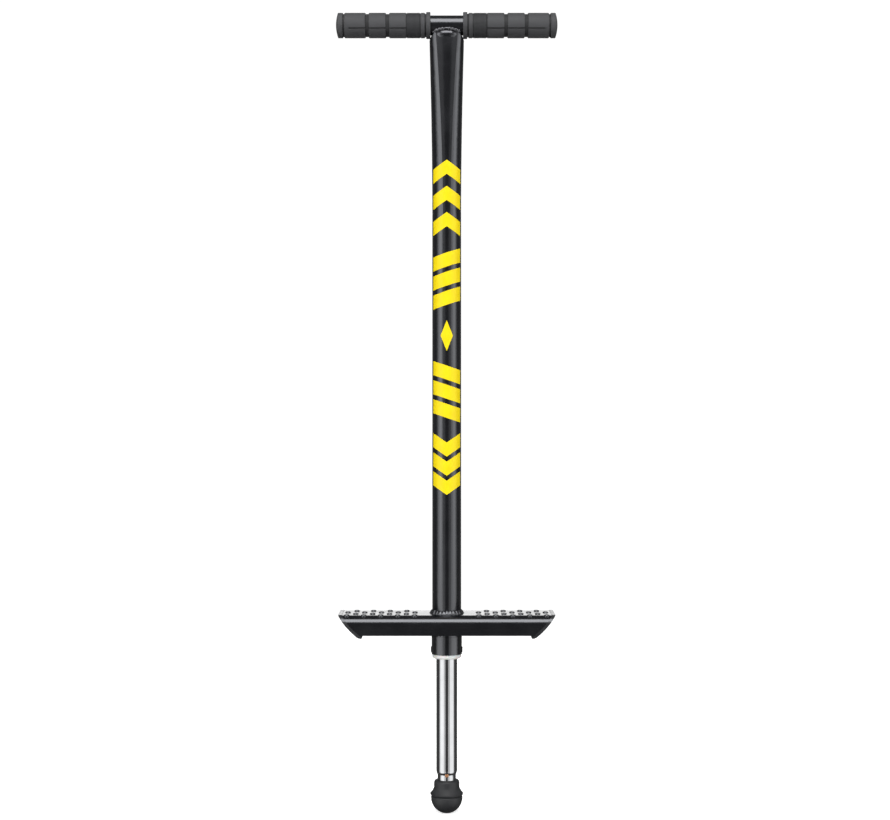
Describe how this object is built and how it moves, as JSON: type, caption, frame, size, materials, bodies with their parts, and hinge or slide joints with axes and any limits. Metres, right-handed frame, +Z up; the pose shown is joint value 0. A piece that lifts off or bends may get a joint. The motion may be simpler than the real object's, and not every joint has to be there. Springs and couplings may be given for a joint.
{
  "type": "pogo stick",
  "caption": "Spring pogo stick: black tube frame with a gripped cross handlebar, a folded footrest with raised grip holes, and a chromed plunger that springs up on a rubber foot.",
  "frame": {"origin": "middle of the rubber foot's flat underside, where the stick stands on the ground with its spring at rest", "axes": "+Z up along the stick, +X along the handlebar and the footrest, -Y towards the side with the tube graphic"},
  "size_m": [0.2684, 0.0718, 0.97],
  "materials": {
    "black_paint": "gloss black paint over steel tube, sheet and weld beads",
    "grip_rubber": "matte dark grey moulded grip rubber",
    "foot_rubber": "matte dark grey solid rubber",
    "bumper_rubber": "matte black rubber",
    "nylon": "natural white nylon, slightly waxy",
    "chrome_plate": "bright chrome plate",
    "plain_steel": "turned bare steel, lightly oiled",
    "dark_steel": "black coated screws",
    "spring_steel": "oil tempered spring wire, greased",
    "copper_pin": "bare copper-coloured pin, dull",
    "yellow_film": "bright yellow vinyl film, gloss"
  },
  "bodies": {
    "frame": {"main_tube": "black_paint", "handlebar_tube": "black_paint", "handlebar_weld": "black_paint", "grip_left": "grip_rubber", "grip_right": "grip_rubber", "foot_channel": "black_paint", "foot_end_plate_left": "black_paint", "foot_end_plate_right": "black_paint", "footrest_weld": "black_paint", "lower_sleeve": "black_paint", "sleeve_weld": "black_paint", "guide_bushing": "nylon", "bushing_screws": "dark_steel", "rebound_bumper": "bumper_rubber", "upper_spring_washer": "plain_steel", "upper_spring_stop": "plain_steel", "main_spring": "spring_steel", "tube_graphic": "yellow_film"},
    "spring_seat": {"thrust_washer": "plain_steel"},
    "plunger": {"piston_head": "plain_steel", "piston_pin": "plain_steel", "plunger_shaft": "chrome_plate", "shaft_plug": "plain_steel", "foot_pin": "copper_pin", "foot_washer": "plain_steel", "rubber_foot": "foot_rubber"}
  },
  "joints": [
    {"name": "plunger_slide", "type": "slide", "parent": "frame", "child": "spring_seat", "axis": [0, 0, 1], "range_m": [0, 0.11], "stiffness_N_per_m": 7000, "springref_m": -0.02, "deforming": ["main_spring"]},
    {"name": "plunger_spin", "type": "hinge", "parent": "spring_seat", "child": "plunger", "pos_m": [0, 0, 0], "axis": [0, 0, 1], "continuous": true}
  ]
}
